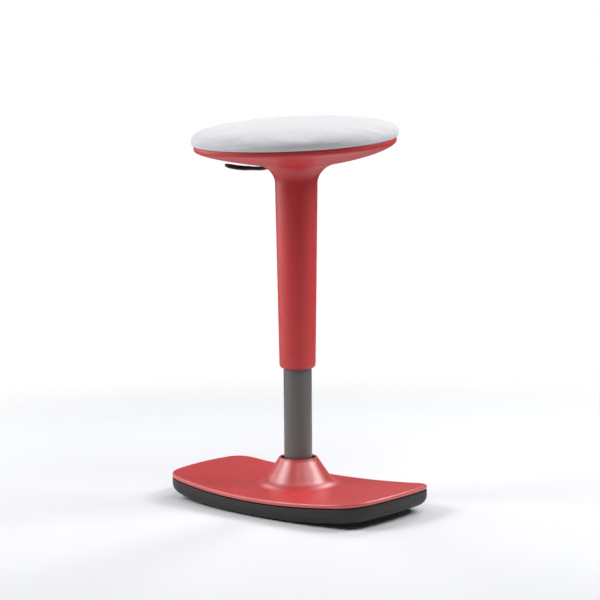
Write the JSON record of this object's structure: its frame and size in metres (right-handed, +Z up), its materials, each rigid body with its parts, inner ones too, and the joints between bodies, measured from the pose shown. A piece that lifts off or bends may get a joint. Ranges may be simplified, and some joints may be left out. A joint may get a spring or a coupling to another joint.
{
  "type": "wobble stool",
  "caption": "Height-adjustable wobble stool: round cushioned seat sloping forward on a lift column, in a dished foot with a curved rubber rocker sole and a release paddle.",
  "frame": {"origin": "on the floor under the column's axis, at the middle of the sole's flat strip", "axes": "+Z up the column, the foot is long along X, and the sitter faces -Y turned by the seat's swivel"},
  "size_m": [0.459, 0.3361, 0.6889],
  "materials": {
    "red_plastic": "satin",
    "sole_rubber": "matte",
    "dark_steel": "matte",
    "tube_paint": "satin",
    "dark_plastic": "satin",
    "pale_plastic": "matte",
    "cast_metal": "matte",
    "polished_steel": "polished",
    "bright_steel": "brushed",
    "plywood": "matte",
    "cover_fabric": "matte"
  },
  "bodies": {
    "foot": {"foot_cover": "red_plastic", "rocker_sole": "sole_rubber", "ballast_plate": "dark_steel", "column_socket": "dark_steel", "socket_bolt_1": "bright_steel", "socket_bolt_2": "bright_steel", "socket_bolt_3": "bright_steel", "socket_bolt_4": "bright_steel", "sole_screw_1": "bright_steel", "sole_screw_2": "bright_steel", "sole_screw_3": "bright_steel", "sole_screw_4": "bright_steel", "sole_screw_5": "bright_steel", "sole_screw_6": "bright_steel", "lift_tube": "tube_paint", "guide_bush": "dark_plastic", "bearing_race_lower": "bright_steel"},
    "rod": {"piston_rod": "polished_steel", "piston": "pale_plastic", "rod_clip": "bright_steel", "bearing_balls": "polished_steel", "bearing_race_upper": "bright_steel", "buffer_ring": "sole_rubber"},
    "seat": {"seat_shell": "red_plastic", "pressure_cylinder": "polished_steel", "seat_hub": "cast_metal", "hub_screw_1": "bright_steel", "hub_screw_2": "bright_steel", "hub_screw_3": "bright_steel", "hub_screw_4": "bright_steel", "lever_pin": "bright_steel", "cushion_board": "plywood", "board_clip_1": "pale_plastic", "board_clip_2": "pale_plastic", "board_clip_3": "pale_plastic", "board_clip_4": "pale_plastic", "cushion": "cover_fabric"},
    "lever": {"release_lever": "dark_plastic"},
    "button": {"release_button": "pale_plastic"}
  },
  "joints": [
    {"name": "seat_swivel", "type": "hinge", "parent": "foot", "child": "rod", "pos_m": [0, 0, 0.045], "axis": [0, 0, 1], "continuous": true},
    {"name": "height_slide", "type": "slide", "parent": "rod", "child": "seat", "axis": [0, 0, 1], "range_m": [-0.15, 0]},
    {"name": "lever_pull", "type": "hinge", "parent": "seat", "child": "lever", "pos_m": [-0.02465, -0.01103, 0.5979], "axis": [-0.4083, 0.9128, 0], "range_deg": [0, 4.5], "stiffness_Nm_per_rad": 0.8, "springref_deg": -3.44},
    {"name": "button_press", "type": "slide", "parent": "seat", "child": "button", "axis": [0, 0, -1], "range_m": [0, 0.0022], "stiffness_N_per_m": 150, "springref_m": -0.001}
  ],
  "couplings": [
    {"joint": "button_press", "follows": "lever_pull", "m_per_rad": 0.027}
  ]
}
